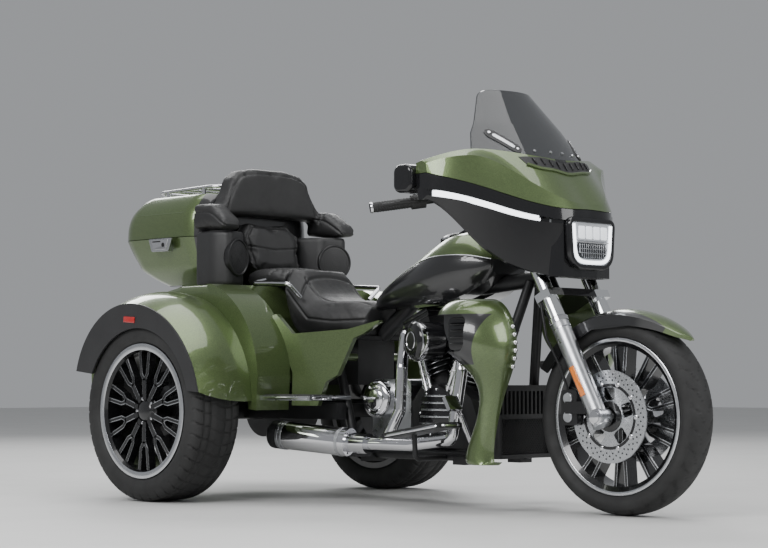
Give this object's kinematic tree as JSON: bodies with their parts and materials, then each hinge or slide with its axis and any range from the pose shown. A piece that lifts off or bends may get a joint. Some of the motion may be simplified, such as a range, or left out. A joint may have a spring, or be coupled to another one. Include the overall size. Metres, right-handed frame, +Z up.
{
  "type": "touring motor tricycle",
  "caption": "Three-wheeled touring motorcycle: fork-mounted fairing, finned V engine, seats with backrest, opening top box, trunk with a drop-down door and arched rear fenders.",
  "frame": {"origin": "on the ground under the middle of the bounding box", "axes": "+X forward along the vehicle, +Y to its left, +Z up"},
  "size_m": [2.67, 1.412, 1.428],
  "materials": {
    "olive_paint": "metallic gloss",
    "black_paint": "gloss",
    "dark_plastic": "satin",
    "tyre_rubber": "matt",
    "rim_black": "gloss, machined edges",
    "chrome_metal": "polished",
    "silver_metal": "satin",
    "dark_metal": "satin",
    "steel": "brushed",
    "seat_cover": "grained",
    "screen": "smoked",
    "lamp_clear": "clear",
    "lamp_red": "gloss",
    "rubber_black": "matt"
  },
  "bodies": {
    "chassis": {"frame": "dark_metal", "crankcase": "dark_metal", "cylinders": "dark_metal", "gearbox": "silver_metal", "primary_cover": "chrome_metal", "air_cleaner": "black_paint", "exhaust": "chrome_metal", "fuel_tank": "olive_paint", "tank_console": "black_paint", "rider_seat": "seat_cover", "passenger_seat": "seat_cover", "battery_box": "dark_plastic", "side_covers": "olive_paint", "lower_fairings": "olive_paint", "radiator_cowl": "dark_plastic", "rider_boards": "dark_metal", "passenger_boards": "silver_metal", "foot_controls": "chrome_metal", "rear_axle": "dark_metal", "swing_arm": "dark_metal", "trunk_body": "olive_paint", "rear_fenders": "olive_paint", "fender_flares": "dark_plastic", "rear_lamps": "lamp_red", "top_box_base": "olive_paint", "top_box_latch": "silver_metal", "top_box_lamp": "lamp_red", "backrest": "seat_cover", "lumbar_pad": "seat_cover", "speaker_pods": "dark_plastic", "grab_rails": "chrome_metal"},
    "steering": {"fork_stem": "chrome_metal", "fork_legs": "silver_metal", "front_fender": "olive_paint", "front_calipers": "dark_metal", "fairing_cap": "olive_paint", "fairing_lower": "black_paint", "windscreen": "screen", "headlamp": "lamp_clear", "light_strips": "lamp_clear", "dash": "dark_plastic", "mirrors": "black_paint", "handlebar": "dark_metal", "hand_controls": "rubber_black"},
    "front_wheel": {"front_tyre": "tyre_rubber", "front_rim": "rim_black", "front_discs": "steel"},
    "rear_wheel_right": {"rear_tyre_right": "tyre_rubber", "rear_rim_right": "rim_black"},
    "rear_wheel_left": {"rear_tyre_left": "tyre_rubber", "rear_rim_left": "rim_black"},
    "top_box_cover": {"top_box_lid": "olive_paint", "luggage_rack": "chrome_metal"},
    "trunk_door": {"tailgate": "olive_paint"}
  },
  "joints": [
    {"name": "steering_pivot", "type": "hinge", "parent": "chassis", "child": "steering", "pos_m": [1.09, 0, 0], "axis": [-0.4695, 0, 0.8829], "range_deg": [-35, 35]},
    {"name": "front_wheel_spin", "type": "hinge", "parent": "steering", "child": "front_wheel", "pos_m": [1.015, 0, 0.32], "axis": [0, 1, 0], "continuous": true},
    {"name": "rear_wheel_right_spin", "type": "hinge", "parent": "chassis", "child": "rear_wheel_right", "pos_m": [-0.655, -0.585, 0.326], "axis": [0, 1, 0], "continuous": true},
    {"name": "rear_wheel_left_spin", "type": "hinge", "parent": "chassis", "child": "rear_wheel_left", "pos_m": [-0.655, 0.585, 0.326], "axis": [0, 1, 0], "continuous": true},
    {"name": "top_box_hinge", "type": "hinge", "parent": "chassis", "child": "top_box_cover", "pos_m": [-1.04, 0.316, 0.989], "axis": [-1, 0, 0], "range_deg": [0, 80]},
    {"name": "trunk_door_hinge", "type": "hinge", "parent": "chassis", "child": "trunk_door", "pos_m": [-1.259, 0, 0.384], "axis": [0, -1, 0], "range_deg": [0, 92]}
  ]
}
